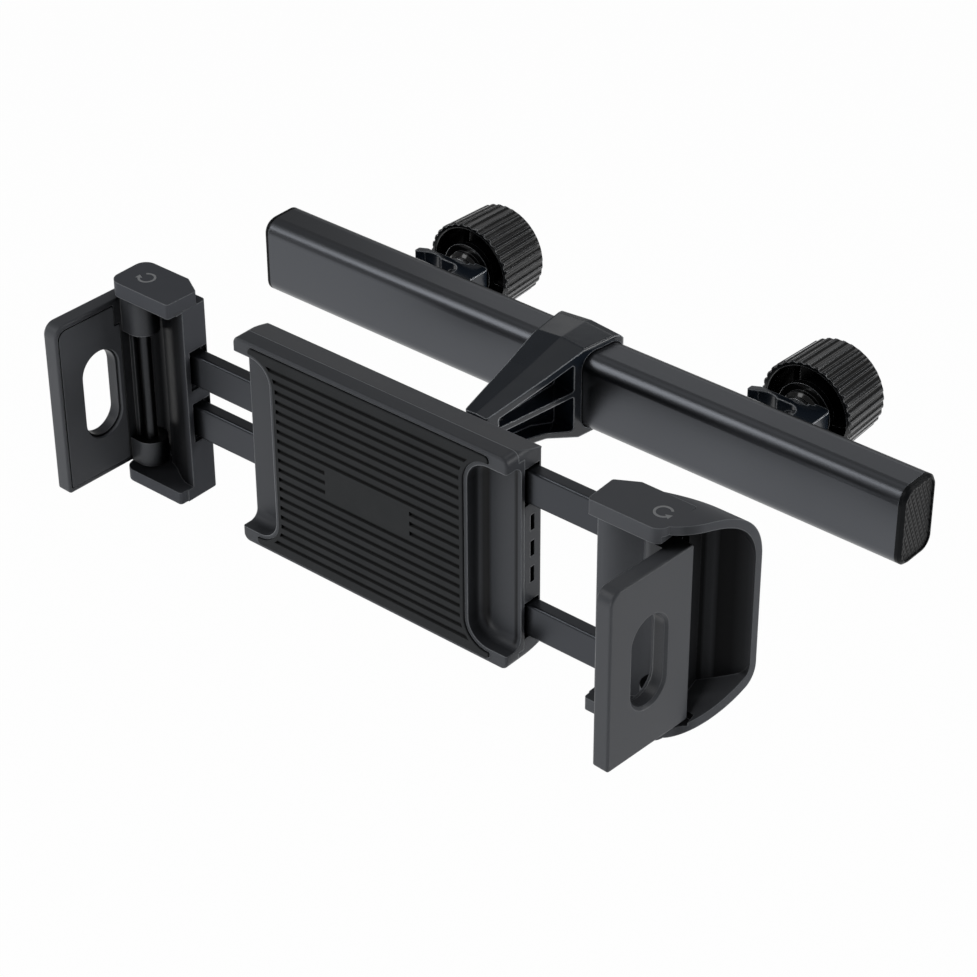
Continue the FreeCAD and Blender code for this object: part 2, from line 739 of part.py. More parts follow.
def rail(offset):
    """Flat rail from its seat in the clamp block to its stop lug behind the pad."""
    mid = z_mid + offset
    half = rail_height / 2
    bar = slab("yz", rail_front, rail_back, mid - half, mid + half,
               rail_tail, block_in + rail_seat, rail_edge)
    lug = block(rail_tail, rail_tail + lug_length, rail_front - lug_depth, rail_front + 0.5,
                mid - half + 1.2, mid + half - 1.2)
    return bar.fuse(lug).removeSplitter()


save(rail(right_rail_offset), "right_upper_rail")
save(rail(-right_rail_offset), "right_lower_rail")
save(left_arm(rail(left_rail_offset)), "left_upper_rail")
save(left_arm(rail(-left_rail_offset)), "left_lower_rail")


def handle_marks():
    """Middle of the handle's quarter ellipse and the two ends of its rear arc."""
    mid_x = pin_x
    mid_y = pin_y + handle_seat
    start = V(block_in + pin_inset / 2, block_back - handle_wall / 2, 0)
    end = V(mid_x + handle_out - handle_wall / 3, mid_y + handle_wall / 3, 0)
    return mid_x, mid_y, start, end


def handle_plan(low, high):
    """Plan of the handle: quarter ellipse in front, swept arc behind."""
    mid_x, mid_y, start, end = handle_marks()
    steps = 10
    rim = []
    for k in range(steps + 1):
        a = math.pi / 2 * k / steps
        rim.append(V(mid_x + handle_out * math.sin(a), mid_y - handle_back * math.cos(a), low))
    front = Part.BSplineCurve()
    front.interpolate(rim)
    s = V(start.x, start.y, low)
    e = V(end.x, end.y, low)
    chord = e - s
    sag = (s + e) * 0.5 + V(chord.y, -chord.x, 0).normalize() * handle_sag
    back = Part.Arc(s, sag, e).toShape()
    corner = V(start.x, mid_y - handle_back, low)
    edges = [front.toShape(), Part.LineSegment(rim[-1], e).toShape(), back,
             Part.LineSegment(s, corner).toShape(), Part.LineSegment(corner, rim[0]).toShape()]
    face = Part.Face(Part.Wire(Part.__sortEdges__(edges)))
    return face.extrude(V(0, 0, high - low))


def handle_hollow_plan(low, high):
    """Everything in front of the handle's rear wall, beyond the block's outer end."""
    mid_x, mid_y, start, end = handle_marks()
    chord = V(end.x - start.x, end.y - start.y, 0)
    normal = V(chord.y, -chord.x, 0).normalize()
    s = V(start.x, start.y, low) + normal * handle_wall
    e = V(end.x, end.y, low) + normal * handle_wall + chord * 0.15
    sag = (s + e) * 0.5 + normal * handle_sag
    back = Part.Arc(s, sag, e).toShape()
    beyond = e.x + 2 * handle_out
    far = V(beyond, e.y, low)
    near = V(s.x, mid_y - handle_back - handle_out, low)
    far2 = V(beyond, near.y, low)
    edges = [back, Part.LineSegment(e, far).toShape(), Part.LineSegment(far, far2).toShape(),
             Part.LineSegment(far2, near).toShape(), Part.LineSegment(near, s).toShape()]
    face = Part.Face(Part.Wire(Part.__sortEdges__(edges)))
    tool = face.extrude(V(0, 0, high - low))
    return tool.common(block(block_out - 1.0, beyond + 1, near.y - 1, e.y + 3 * handle_out, low, high))


def side_arch(inset):
    """Side view of the handle: flat top with a big round, underside that rises to the back."""
    top = block_top - inset
    low = block_bottom + inset
    front = block_front - 2 * handle_back
    back = pin_y + handle_seat - inset
    bend = pin_y - handle_wall * 2
    rise = low + handle_rise
    plan = [(front, low, 0), (bend, low, handle_heel), (back, rise, handle_heel - inset),
            (back, top, handle_round - inset), (front, top, 0)]
    return prism("yz", plan, block_in, pin_x + 3 * handle_out)


def clamp_block(handled, offset):
    """End clamp of an arm: plates, trough for the flap, rail pockets."""
    cx = plate_chamfer_x
    cy = plate_chamfer_y
    body = prism("xy", [(block_in + 0.5, block_front, 1.0), (block_out, block_front, plate_corner),
                        (block_out, block_back, plate_corner if not handled else 0.5),
                        (block_in + cx, block_back, 1.0), (block_in, block_back - cy, 1.0)],
                 block_bottom, block_top)
    if handled:
        horn = handle_plan(block_bottom, block_top).common(side_arch(0))
        body = body.fuse(horn)
        hollow = handle_hollow_plan(block_bottom - 5, block_top + 5).common(side_arch(handle_wall + 0.4))
        body = body.cut(hollow)
    wall = prism("xy", [(block_in, block_front + 3, 0), (block_in + 12, block_front + 3, 0),
                        (block_in + 12, block_back, 0), (block_in, block_back, 1.5)],
                 block_bottom, mouth_top + 0.5)
    body = body.fuse(wall)
    room = knuckle_dia / 2 + knuckle_room
    lip_x = block_in + lip_thick
    trough = Part.BSplineCurve()
    side_y = pin_y + room * math.sin(math.radians(150))
    side_x = pin_x + room * math.cos(math.radians(150))
    low = mouth_bottom
    trough.interpolate([V(lip_x, lip_y, low), V(lip_x + 4.5, lip_y + 1.3, low),
                        V(side_x - 3.0, side_y - 1.1, low), V(side_x, side_y, low)])
    turn = math.radians(120)
    half_way = V(pin_x + room * math.cos(turn), pin_y + room * math.sin(turn), low)
    arc = Part.Arc(V(side_x, side_y, low), half_way, V(pin_x, pin_y + room, low)).toShape()
    far_x = pin_x + 3 * handle_out
    front = block_front - 2 * handle_back
    pts = [V(pin_x, pin_y + room, low), V(far_x, pin_y + room, low), V(far_x, front, low),
           V(block_in - 5, front, low), V(block_in - 5, lip_y, low), V(lip_x, lip_y, low)]
    edges = [trough.toShape(), arc]
    for p, q in zip(pts, pts[1:]):
        edges.append(Part.LineSegment(p, q).toShape())
    mouth = Part.Face(Part.Wire(Part.__sortEdges__(edges))).extrude(V(0, 0, mouth_top - low))
    limit = block(block_in - 6, block_out + (0 if handled else 3 * handle_out), front, block_back + 1,
                  mouth_bottom, mouth_top)
    body = body.cut(mouth.common(limit))
    heel_room = block(pin_x, pin_x + flap_offset + flap_thick + 1, front, pin_y + flap_behind + 1,
                      mouth_bottom, mouth_top)
    body = body.cut(heel_room)
    for up in (1, -1):
        mid = z_mid + up * offset
        half = rail_height / 2
        body = body.cut(block(block_in - 1, block_in + 1.5, rail_front - rail_mouth, rail_back + rail_mouth,
                              mid - half - rail_mouth, mid + half + rail_mouth))
        body = body.cut(block(block_in, block_in + rail_seat, rail_front - push_fit, rail_back + push_fit,
                              mid - half - push_fit, mid + half + push_fit))
    body = body.cut(rod_z(pin_x, pin_y, pin_dia / 2 + push_fit, block_bottom + 1.6, block_top - 1.6))
    return body.removeSplitter()


right_block = clamp_block(True, right_rail_offset)
save(right_block, "right_clamp_block")
left_block = clamp_block(False, left_rail_offset)
save(left_arm(left_block), "left_clamp_block")

pin = rod_z(pin_x, pin_y, pin_dia / 2, block_bottom + 1.6, block_top - 1.6)
save(pin, "right_hinge_pin")
save(left_arm(pin), "left_hinge_pin")


def flap():
    """Right-hand flap with its two knuckles, before it is turned to its resting angle."""
    inn = pin_x + flap_offset
    out = inn + flap_thick
    tip = pin_y - flap_reach
    tail = pin_y + flap_behind
    plate = prism("yz", [(tip, flap_bottom, flap_toe), (tail, flap_bottom, 0.8),
                         (tail, flap_top, 0.8), (tip, flap_top, flap_corner)], inn, out)
    plate = soften(plate, 0.7, lambda e: e.BoundBox.XLength < 1e-6)
    for low, high in ((flap_top - upper_knuckle, flap_top), (flap_bottom, flap_bottom + lower_knuckle)):
        plate = plate.fuse(rod_z(pin_x, pin_y, knuckle_dia / 2, low, high))
        plate = plate.fuse(block(pin_x, inn + 1, pin_y - knuckle_dia / 2, pin_y + flap_behind, low, high))
    plate = plate.fuse(block(inn - 1.4, inn + 0.5, pin_y - 2.6, pin_y + flap_behind - 0.4,
                             flap_bottom + 2, flap_top - 2))
    plate = plate.cut(rod_z(pin_x, pin_y, pin_dia / 2 + run_fit, flap_bottom - 1, flap_top + 1))
    mid = pin_y - window_ahead
    r = window_depth / 2
    hole = z_mid - window_drop
    window = slab("yz", mid - r, mid + r, hole - window_height / 2, hole + window_height / 2,
                  inn - 5, out + 5, r - 0.01)
    plate = plate.cut(window)
    edge = [e for e in plate.Edges if e.BoundBox.XMin > out - 1e-3 and e.BoundBox.YMin > mid - r - 0.1
            and e.BoundBox.YMax < mid + r + 0.1]
    plate = plate.makeChamfer(0.9, edge)
    return plate, inn, window


def flap_liner_area(shrink, x0, x1):
    """Liner outline on the flap's inner face, notched beside the upper knuckle."""
    tip = pin_y - flap_reach + liner_front_margin + shrink
    tail = pin_y - knuckle_dia / 2 - 0.8 - shrink
    low = flap_bottom + liner_margin + shrink
    high = flap_top - liner_margin - shrink
    step = tail - 2.2
    return prism("yz", [(tip, low, 0.6), (tail, low, 0.6), (tail, high - liner_notch, 0.3),
                        (step, high - liner_notch, 0.6), (step, high, 0.6),
                        (tip, high, flap_corner - liner_front_margin)], x0, x1)


flap_plate, flap_in, flap_window = flap()
recess = flap_liner_area(0, flap_in - 1, flap_in + liner_recess)
flap_plate = flap_plate.cut(recess)
flap_liner = flap_liner_area(0.25, flap_in - liner_proud, flap_in + liner_recess)
flap_liner = flap_liner.cut(flap_window.makeOffsetShape(0.6, 0.01))
flap_liner = soften(flap_liner, 0.25, lambda e: e.BoundBox.XMax < flap_in - liner_proud + 1e-3)


def turned_flap(shape, angle):
    """Turn about the hinge pin; positive angles fold the right flap inward."""
    copy = shape.copy()
    copy.rotate(V(pin_x, pin_y, 0), V(0, 0, 1), -angle)
    return copy


save(turned_flap(flap_plate, right_flap_turn), "right_flap")
save(turned_flap(flap_liner, right_flap_turn), "right_flap_liner")
save(left_arm(turned_flap(flap_plate, -left_flap_flare)), "left_flap")
save(left_arm(turned_flap(flap_liner, -left_flap_flare)), "left_flap_liner")
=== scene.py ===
# %% [markdown]
# # A headrest tablet mount, dressed for a studio photograph
# The CAD model gives every piece its true shape. This lesson gives each piece the finish
# that its material has on the real object, adds the two small printed marks, and then
# sets up a pale studio with a long lens, so that the mount looks as it does in a
# product photograph.

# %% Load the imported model
import bmesh
import bpy
import math
from mathutils import Matrix, Vector


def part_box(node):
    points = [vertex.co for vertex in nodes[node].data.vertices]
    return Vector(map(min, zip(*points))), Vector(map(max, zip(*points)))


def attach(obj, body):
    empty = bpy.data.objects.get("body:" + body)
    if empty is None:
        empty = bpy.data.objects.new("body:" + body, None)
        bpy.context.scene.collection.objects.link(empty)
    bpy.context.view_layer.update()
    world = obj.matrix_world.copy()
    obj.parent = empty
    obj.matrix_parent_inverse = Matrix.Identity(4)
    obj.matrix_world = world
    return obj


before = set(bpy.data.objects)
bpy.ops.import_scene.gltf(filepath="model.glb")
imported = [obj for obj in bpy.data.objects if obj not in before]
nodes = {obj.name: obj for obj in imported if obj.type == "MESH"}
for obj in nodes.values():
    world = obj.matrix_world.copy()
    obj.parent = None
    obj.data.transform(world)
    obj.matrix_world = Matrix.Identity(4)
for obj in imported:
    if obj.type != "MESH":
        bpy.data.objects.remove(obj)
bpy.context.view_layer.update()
print("pieces from the CAD model:", len(nodes))

# %% [markdown]
# ## Sizes and colours
# All of Blender's lengths here are metres, and the real object is described in
# millimetres, so one value turns the first into the second. Colours are written as
# sRGB hex values, as a paint chart gives them. A shader wants linear light, so one
# function does that step, by the sRGB standard's own curve, for every colour.

# %% Units and colours
MM = 0.001


def linear(hex_colour):
    """sRGB hex text to linear RGBA."""
    channels = [int(hex_colour[k:k + 2], 16) / 255 for k in (1, 3, 5)]
    light = [c / 12.92 if c <= 0.04045 else ((c + 0.055) / 1.055) ** 2.4 for c in channels]
    return (*light, 1.0)


print("mid grey in linear light:", round(linear("#808080")[0], 3))

# %% [markdown]
# ## One helper for shader nodes
# A material is a small graph. Making a node, setting its options and wiring its
# sockets are always the same three steps, so one short function does them. A value
# that is a socket is wired, and any other value is typed into the socket. A socket is
# called by its label, or by i and its number where a node has a label twice. A Mix node
# is such a one: its two colours are i6 and i7, and its mixed colour is output 2.

# %% Node helper
MIXED = 2


def add(owner, kind, options=None, **sockets):
    """Add a node to a material or world; sockets are values or other nodes' outputs."""
    tree = owner.node_tree
    node = tree.nodes.new(kind)
    for name, value in (options or {}).items():
        setattr(node, name, value)
    for name, value in sockets.items():
        numbered = name[0] == "i" and name[1:].isdigit()
        socket = node.inputs[int(name[1:]) if numbered else name.replace("_", " ")]
        if isinstance(value, bpy.types.NodeSocket):
            tree.links.new(value, socket)
        else:
            socket.default_value = value
    return node


print("node helper ready")

# %% [markdown]
# ## The start, the end and the scale of a material
# Every material here starts as an empty graph and ends in one surface shader. The
# patterns between are noises. They could be laid by a UV map, but each CAD piece would
# have to be unwrapped for that. Laid by the place on the piece, they have no seams, keep
# their true size and move with the piece. A grain in millimetres gives the noise scale.

# %% Material helpers


def new_material(name):
    """Material with an empty node graph."""
    material = bpy.data.materials.new(name)
    material.use_nodes = True
    material.node_tree.nodes.clear()
    return material


def surface(material, shader):
    """Wire a shader into the material's output."""
    add(material, "ShaderNodeOutputMaterial", Surface=shader.outputs[0])
    return material


def place(material, stretch=(1, 1, 1)):
    """Position on the piece in metres, stretched along the axes where a pattern runs one way."""
    where = add(material, "ShaderNodeTexCoord")
    return add(material, "ShaderNodeMapping", Vector=where.outputs["Object"], Scale=stretch).outputs[0]


def grains(size_mm):
    """Noise scale whose blobs are about size_mm across."""
    return 1 / (size_mm * MM)


print("a 0.5 mm grain has noise scale", grains(0.5))

# %% [markdown]
# ## Painted edge highlights
# The edges of the mouldings are drawn a lighter grey. This painted highlight stands in
# for the thin lines of light that they catch. It could be painted on, or read from how
# sharply the mesh bends, which asks for a dense mesh. The Bevel node asks for neither. It
# gives the normal that a rounded edge would have, and how far that turns from the face's
# own normal is the share of painted highlight.

# %% Share of rubbed edge
# Painted highlight: the turn at which an edge starts to be drawn pale, and the turn at which it is fully
# pale.
painted_edge_highlight_starts = 0.99
painted_edge_highlight_is_full = 0.86


def edges(material, rounded):
    """0 on a face, rising to 1 where the rounded normal turns away from the face's own."""
    face = add(material, "ShaderNodeNewGeometry")
    agree = add(material, "ShaderNodeVectorMath", {"operation": "DOT_PRODUCT"},
                i0=rounded.outputs[0], i1=face.outputs["Normal"])
    return add(material, "ShaderNodeMapRange", Value=agree.outputs["Value"],
               From_Min=painted_edge_highlight_starts, From_Max=painted_edge_highlight_is_full).outputs[0]


print("rubbing starts at a turn of", round(math.degrees(math.acos(painted_edge_highlight_starts)), 1), "degrees")

# %% [markdown]
# ## Painted shade in recesses
# Little light comes back out of a deep gap in dark plastic, and it looks nearly black.
# The studio's lamps are large and reach into such gaps, so light alone leaves them too
# grey, and the shade is painted into the colour. Painting it on a map would not follow
# the joints as they move. The Ambient Occlusion node does: it measures how open the
# surroundings are within a reach, and that share darkens the colour inside as painted
# shade.

# %% Share of openness
occlusion_rays = 8


def openness(material, reach_mm, least, closed=0.4, clear=0.8):
    """1 on open faces, falling to least deep inside a recess."""
    around = add(material, "ShaderNodeAmbientOcclusion", {"samples": occlusion_rays},
                 Distance=reach_mm * MM)
    return add(material, "ShaderNodeMapRange", Value=around.outputs["AO"],
               From_Min=closed, From_Max=clear, To_Min=least).outputs[0]


print("rays that measure a recess:", occlusion_rays)

# %% [markdown]
# ## Painted shade along a hollow
# Each side clamp has a hollow behind its flap, a dish in the right one and a narrow
# trough in the left one. Its back is painted much darker than the plastic round it, as
# painted shade. An image could be laid there, but it would have to be unwrapped and
# would blur. A colour ramp along X gives the same soft bands from a few pairs of
# numbers: the place in millimetres, and how dark the painted shade is there.

# %% Ramp of darkness


def darkness_along(material, x, shades):
    """Painted shade at a place x, from pairs of x in mm and darkness."""
    first = shades[0][0]
    last = shades[-1][0]
    across = add(material, "ShaderNodeMapRange", Value=x, From_Min=first * MM, From_Max=last * MM)
    ramp = add(material, "ShaderNodeValToRGB", Fac=across.outputs[0])
    stops = ramp.color_ramp.elements
    for x_mm, _ in shades[1:-1]:
        stops.new((x_mm - first) / (last - first))
    for stop, (_, dark) in zip(stops, shades):
        stop.color = (dark, dark, dark, 1)
    return ramp.outputs["Color"]


print("darkness ramp ready")

# %% [markdown]
# ## The back and the side of a hollow
# The ramp alone would darken the whole piece from front to rear. So it counts only
# behind the mouth of the hollow, and only on faces that look out of it, toward -Y. A
# wall at the left of a hollow looks along X, and has one darkness of its own. All of
# this painted shade is laid by the place on the piece, so it stays there when the clamp
# slides.

# %% Shade of a hollow
mouth_blend_mm = 3
# How far along Y or X a face has to look before it starts to count, and to count in full.
back_turns = (-0.5, -0.75)
wall_turns = (0.9, 0.98)
wall_darkness = 0.85


def hollow_shade(material, mouth_y_mm, shades, wall_x_mm=None):
    """1 outside a hollow, less on its back by shades, and less on walls left of wall_x_mm."""
    where = add(material, "ShaderNodeTexCoord")
    point = add(material, "ShaderNodeSeparateXYZ", Vector=where.outputs["Object"])
    facing = add(material, "ShaderNodeSeparateXYZ", Vector=where.outputs["Normal"])
    behind = add(material, "ShaderNodeMapRange", Value=point.outputs["Y"],
                 From_Min=(mouth_y_mm - mouth_blend_mm) * MM,
                 From_Max=(mouth_y_mm + mouth_blend_mm) * MM)
    forward = add(material, "ShaderNodeMapRange", Value=facing.outputs["Y"],
                  From_Min=back_turns[0], From_Max=back_turns[1])
    dark = add(material, "ShaderNodeMath", {"operation": "MULTIPLY"},
               i0=forward.outputs[0], i1=darkness_along(material, point.outputs["X"], shades))
    if wall_x_mm is not None:
        sideways = add(material, "ShaderNodeMapRange", Value=facing.outputs["X"],
                       From_Min=wall_turns[0], From_Max=wall_turns[1], To_Max=wall_darkness)
        left = add(material, "ShaderNodeMath", {"operation": "LESS_THAN"},
                   i0=point.outputs["X"], i1=wall_x_mm * MM)
        wall = add(material, "ShaderNodeMath", {"operation": "MULTIPLY"},
                   i0=sideways.outputs[0], i1=left.outputs[0])
        dark = add(material, "ShaderNodeMath", {"operation": "MAXIMUM"},
                   i0=dark.outputs[0], i1=wall.outputs[0])
    inside = add(material, "ShaderNodeMath", {"operation": "MULTIPLY"},
                 i0=behind.outputs[0], i1=dark.outputs[0])
    return add(material, "ShaderNodeMath", {"operation": "SUBTRACT"},
               i0=1.0, i1=inside.outputs[0]).outputs[0]


print("a hollow's mouth fades in over", 2 * mouth_blend_mm, "mm")

# %% [markdown]
# ## Moulded ABS
# The holder, the side clamps and their flaps are injection-moulded ABS plastic. The
# steel mould was spark-eroded, which leaves an even, fine grain: it breaks up
# reflections, so that the faces look soft grey under a big lamp while the edges still
# catch a thin light line. The grain could be carved into the mesh, but it is far too
# fine for that, and a noise that only tilts the normals gives the same soft faces. The
# true grain is about 0.1 mm and would not show from this distance, so it is drawn at
# 0.35 mm. A second, broad noise varies the colour and the roughness a little, as
# handling does. The edges are rounded in the shader by 0.6 mm and drawn pale there as a
# painted highlight. Recesses and hollows are darkened as painted shade.

# %% Moulded plastic
PLASTIC_IOR = 1.53
# Most values of a noise lie between these two.
noise_low = 0.3
noise_high = 0.7
handling_mm = 28
handling_spread = 0.05
# Painted shade: the near black that recesses and hollows are mixed toward.
recess_painted_shade = "#0a0a0b"


def moulded_plastic(name, colour, worn, edge_highlight, roughness, mirror, grain_mm, depth_mm,
                    edge_mm=0.6, reach_mm=40, least=0.0, hollow=None):
    """Dielectric plastic with a moulded grain, painted edge highlights and painted shade in recesses."""
    m = new_material(name)
    spot = place(m)
    fine = add(m, "ShaderNodeTexNoise", Vector=spot, Scale=grains(grain_mm), Detail=3.0)
    broad = add(m, "ShaderNodeTexNoise", Vector=spot, Scale=grains(handling_mm), Detail=4.0)
    tint = add(m, "ShaderNodeMix", {"data_type": "RGBA"}, Factor=broad.outputs["Fac"],
               i6=linear(colour), i7=linear(worn))
    gloss = add(m, "ShaderNodeMapRange", Value=broad.outputs["Fac"],
                From_Min=noise_low, From_Max=noise_high,
                To_Min=roughness - handling_spread, To_Max=roughness + handling_spread)
    rounded = add(m, "ShaderNodeBevel", {"samples": 8}, Radius=edge_mm * MM)
    # Painted highlight: the edges are mixed toward a pale grey.
    painted_edge_highlight = add(m, "ShaderNodeMix", {"data_type": "RGBA"}, Factor=edges(m, rounded),
                  i6=tint.outputs[MIXED], i7=linear(edge_highlight))
    open_share = openness(m, reach_mm, least)
    if hollow:
        open_share = add(m, "ShaderNodeMath", {"operation": "MULTIPLY"},
                         i0=open_share, i1=hollow_shade(m, **hollow)).outputs[0]
    # Painted shade: recesses and the backs of hollows are mixed toward near black.
    recess = add(m, "ShaderNodeMix", {"data_type": "RGBA"}, Factor=open_share,
                 i6=linear(recess_painted_shade), i7=painted_edge_highlight.outputs[MIXED])
    bump = add(m, "ShaderNodeBump", Strength=0.35, Distance=depth_mm * MM,
               Height=fine.outputs["Fac"], Normal=rounded.outputs[0])
    shader = add(m, "ShaderNodeBsdfPrincipled", Base_Color=recess.outputs[MIXED], IOR=PLASTIC_IOR,
                 Specular_IOR_Level=mirror, Roughness=gloss.outputs[0], Normal=bump.outputs[0])
    return surface(m, shader)


# What all pieces from the eroded moulds share.
eroded = {"edge_highlight": "#8b8e92", "grain_mm": 0.35, "depth_mm": 0.03}
abs_housing = moulded_plastic("abs_spark_eroded", "#484a4e", "#4d4f53",
                              roughness=0.38, mirror=0.12, **eroded)
abs_flap = moulded_plastic("abs_flap_fine", "#4c4e52", "#515357",
                           roughness=0.34, mirror=0.16, **eroded)
print("eroded plastics:", abs_housing.name, abs_flap.name)

# %% [markdown]
# ## Clamps and front shell
# These three pieces are the same ABS, and each adds painted shade in a hollow to it. The
# two clamps are moulded a little paler and duller than the housing. The right clamp's
# dish is painted dark, with a paler band along its inner wall, and fades out toward the
# handle's rim. The left clamp's trough is painted dark on its back only. The front
# shell's scoops get painted shade only in the fillet at their inner end, and a thin line
# of painted shade marks where the shell's outer edge was parted in the mould. Separate
# dark pieces set into the hollows would show their borders, which is why the painted
# shade is laid on the plastic itself.

# %% Plastic with hollows
# Painted shade: for each hollow, pairs of x in mm and how dark it is painted there.
dish = {"mouth_y_mm": -90, "wall_x_mm": 106,
        "shades": ((98, 0), (99, 0.9), (105.5, 0.9), (106.2, 0.4), (107.8, 0.4),
                   (109, 0.95), (112.5, 0.95), (115.3, 0.8), (116.8, 0.6))}
trough = {"mouth_y_mm": -93.5,
          "shades": ((-104, 0.2), (-101, 0.3), (-97, 0.7), (-92, 0.92), (-82, 0.92),
                     (-80, 0.6), (-79, 0))}
scoop = {"mouth_y_mm": -93, "wall_x_mm": 39,
         "shades": ((-60, 0), (37, 0), (37.5, 0.95), (40.5, 0.95), (41.6, 0),
                    (49.9, 0), (50.3, 0.8), (51, 0.8), (51.4, 0))}
abs_dish = moulded_plastic("abs_clamp_with_dish", "#5a5c60", "#5f6165", roughness=0.38,
                           mirror=0.03, reach_mm=30, least=0.6, hollow=dish, **eroded)
abs_trough = moulded_plastic("abs_clamp_with_trough", "#53555a", "#585a5f", roughness=0.38,
                             mirror=0.015, reach_mm=30, least=0.4, hollow=trough, **eroded)
abs_front = moulded_plastic("abs_front_shell", "#484a4e", "#4d4f53", roughness=0.38,
                            mirror=0.12, reach_mm=18, least=0.3, hollow=scoop, **eroded)
print("plastics with a hollow:", abs_dish.name, abs_trough.name, abs_front.name)

# %% [markdown]
# ## Knobs and slides
# The knobs and the collar are ABS from a smoother mould. They are nearly black, and
# their ribs catch the light as fine lines, partly from the lamps and partly from a pale
# painted highlight on their edges. Painted shade is measured over 4 mm only, so that it
# darkens the valleys between the ribs and not the flanks. The sliding parts inside are
# acetal, a waxy plastic that needs no grease, with a soft sheen. Both come from the same
# function as the housing, because they differ from it only in their numbers.

# %% Knob and slide plastics
abs_knob = moulded_plastic("abs_knob_semi_gloss", "#0c0d0e", "#121314", "#85888c", roughness=0.14,
                           mirror=0.45, grain_mm=0.4, depth_mm=0.01, edge_mm=0.4, reach_mm=4)
pom_slide = moulded_plastic("acetal_slide", "#2c2d2f", "#333436", "#4b4c4e", roughness=0.38,
                            mirror=0.4, grain_mm=0.5, depth_mm=0.02)
print("smoother plastics:", abs_knob.name, pom_slide.name)

# %% [markdown]
# ## Polished moulding
# The sliding bracket and the clamp jaws are polycarbonate from a polished mould. Its
# low roughness mirrors the lamps in sharp streaks, and its black leans to blue. A clear
# coat over a duller plastic would give streaks too, but a moulding has no coat, and one
# layer is simpler. Only a faint waviness, from the plastic's shrinking over the ribs,
# disturbs the reflections. The thin rib edges are drawn pale as a painted highlight, so
# they show as fine lines of light. The edge mix of the other plastics is used here too.

# %% Polished plastic
smudge_mm = 6
smudge_spread = 0.08


def polished_plastic(name, colour, worn, edge_highlight, roughness, mirror, wave_mm, depth_mm, edge_mm):
    """Glossy moulding with gentle sink waves and painted edge highlights."""
    m = new_material(name)
    spot = place(m)
    waves = add(m, "ShaderNodeTexNoise", Vector=spot, Scale=grains(wave_mm), Detail=2.0)
    smudge = add(m, "ShaderNodeTexNoise", Vector=spot, Scale=grains(smudge_mm), Detail=5.0)
    tint = add(m, "ShaderNodeMix", {"data_type": "RGBA"}, Factor=smudge.outputs["Fac"],
               i6=linear(colour), i7=linear(worn))
    gloss = add(m, "ShaderNodeMapRange", Value=smudge.outputs["Fac"], From_Min=0.35, From_Max=0.75,
                To_Min=roughness, To_Max=roughness + smudge_spread)
    rounded = add(m, "ShaderNodeBevel", {"samples": 8}, Radius=edge_mm * MM)
    # Painted highlight: the edges are mixed toward a pale grey.
    painted_edge_highlight = add(m, "ShaderNodeMix", {"data_type": "RGBA"}, Factor=edges(m, rounded),
                  i6=tint.outputs[MIXED], i7=linear(edge_highlight))
    bump = add(m, "ShaderNodeBump", Strength=0.2, Distance=depth_mm * MM,
               Height=waves.outputs["Fac"], Normal=rounded.outputs[0])
    shader = add(m, "ShaderNodeBsdfPrincipled", Base_Color=painted_edge_highlight.outputs[MIXED], IOR=PLASTIC_IOR,
                 Specular_IOR_Level=mirror, Roughness=gloss.outputs[0], Normal=bump.outputs[0])
    return surface(m, shader)


pc_bracket = polished_plastic("polycarbonate_polished", "#1c232c", "#212831", "#b4b9bf",
                              roughness=0.14, mirror=0.38, wave_mm=9, depth_mm=0.25, edge_mm=0.8)
print("polished plastic:", pc_bracket.name)

# %% [markdown]
# ## Anodised aluminium
# The cross bar is an extruded tube, blasted and anodised dark grey. The metal below
# the thin oxide gives soft, wide reflections, and the die leaves hair-fine lines that
# run along the bar. The Anisotropic setting would smear the reflections too, but would
# show no lines. Stretching a noise along X draws them: it changes slowly along the bar
# and quickly across it. Real lines are finer than a tenth of a millimetre, and are
# drawn at 0.3 mm so that they show. Extruded walls are never quite flat, and the bar's
# front wall bulges by a few hundredths of a millimetre. The shader tilts the normals as
# if it bulged by 0.7 mm, because a reflection then fades from the top of the wall to its
# bottom as it does on the object. The height of that bulge falls with the square of Z.
# The flat rails of the clamps are the same aluminium, anodised black, with no bulge.

# %% Anodised metal
along_x = (0.02, 1, 1)
cloud_mm = 40
line_spread = 0.015


def anodised_aluminium(name, colour, worn, roughness, line_mm, bulge_per_m):
    """Dark anodised extrusion with lines along X and a bulging wall."""
    m = new_material(name)
    lines = add(m, "ShaderNodeTexNoise", Vector=place(m, along_x), Scale=grains(line_mm), Detail=2.0)
    cloud = add(m, "ShaderNodeTexNoise", Vector=place(m), Scale=grains(cloud_mm), Detail=3.0)
    tint = add(m, "ShaderNodeMix", {"data_type": "RGBA"}, Factor=cloud.outputs["Fac"],
               i6=linear(colour), i7=linear(worn))
    gloss = add(m, "ShaderNodeMapRange", Value=lines.outputs["Fac"],
                From_Min=noise_low, From_Max=noise_high,
                To_Min=roughness - line_spread, To_Max=roughness + line_spread)
    rounded = add(m, "ShaderNodeBevel", {"samples": 6}, Radius=0.3 * MM)
    point = add(m, "ShaderNodeSeparateXYZ", Vector=place(m))
    squared = add(m, "ShaderNodeMath", {"operation": "MULTIPLY"},
                  i0=point.outputs["Z"], i1=point.outputs["Z"])
    bulge = add(m, "ShaderNodeMath", {"operation": "MULTIPLY"}, i0=squared.outputs[0], i1=-bulge_per_m)
    bulged = add(m, "ShaderNodeBump", Strength=1.0, Distance=1.0,
                  Height=bulge.outputs[0], Normal=rounded.outputs[0])
    bump = add(m, "ShaderNodeBump", Strength=0.03, Distance=0.02 * MM,
               Height=lines.outputs["Fac"], Normal=bulged.outputs[0])
    shader = add(m, "ShaderNodeBsdfPrincipled", Base_Color=tint.outputs[MIXED], Metallic=1.0,
                 Roughness=gloss.outputs[0], Normal=bump.outputs[0])
    return surface(m, shader)


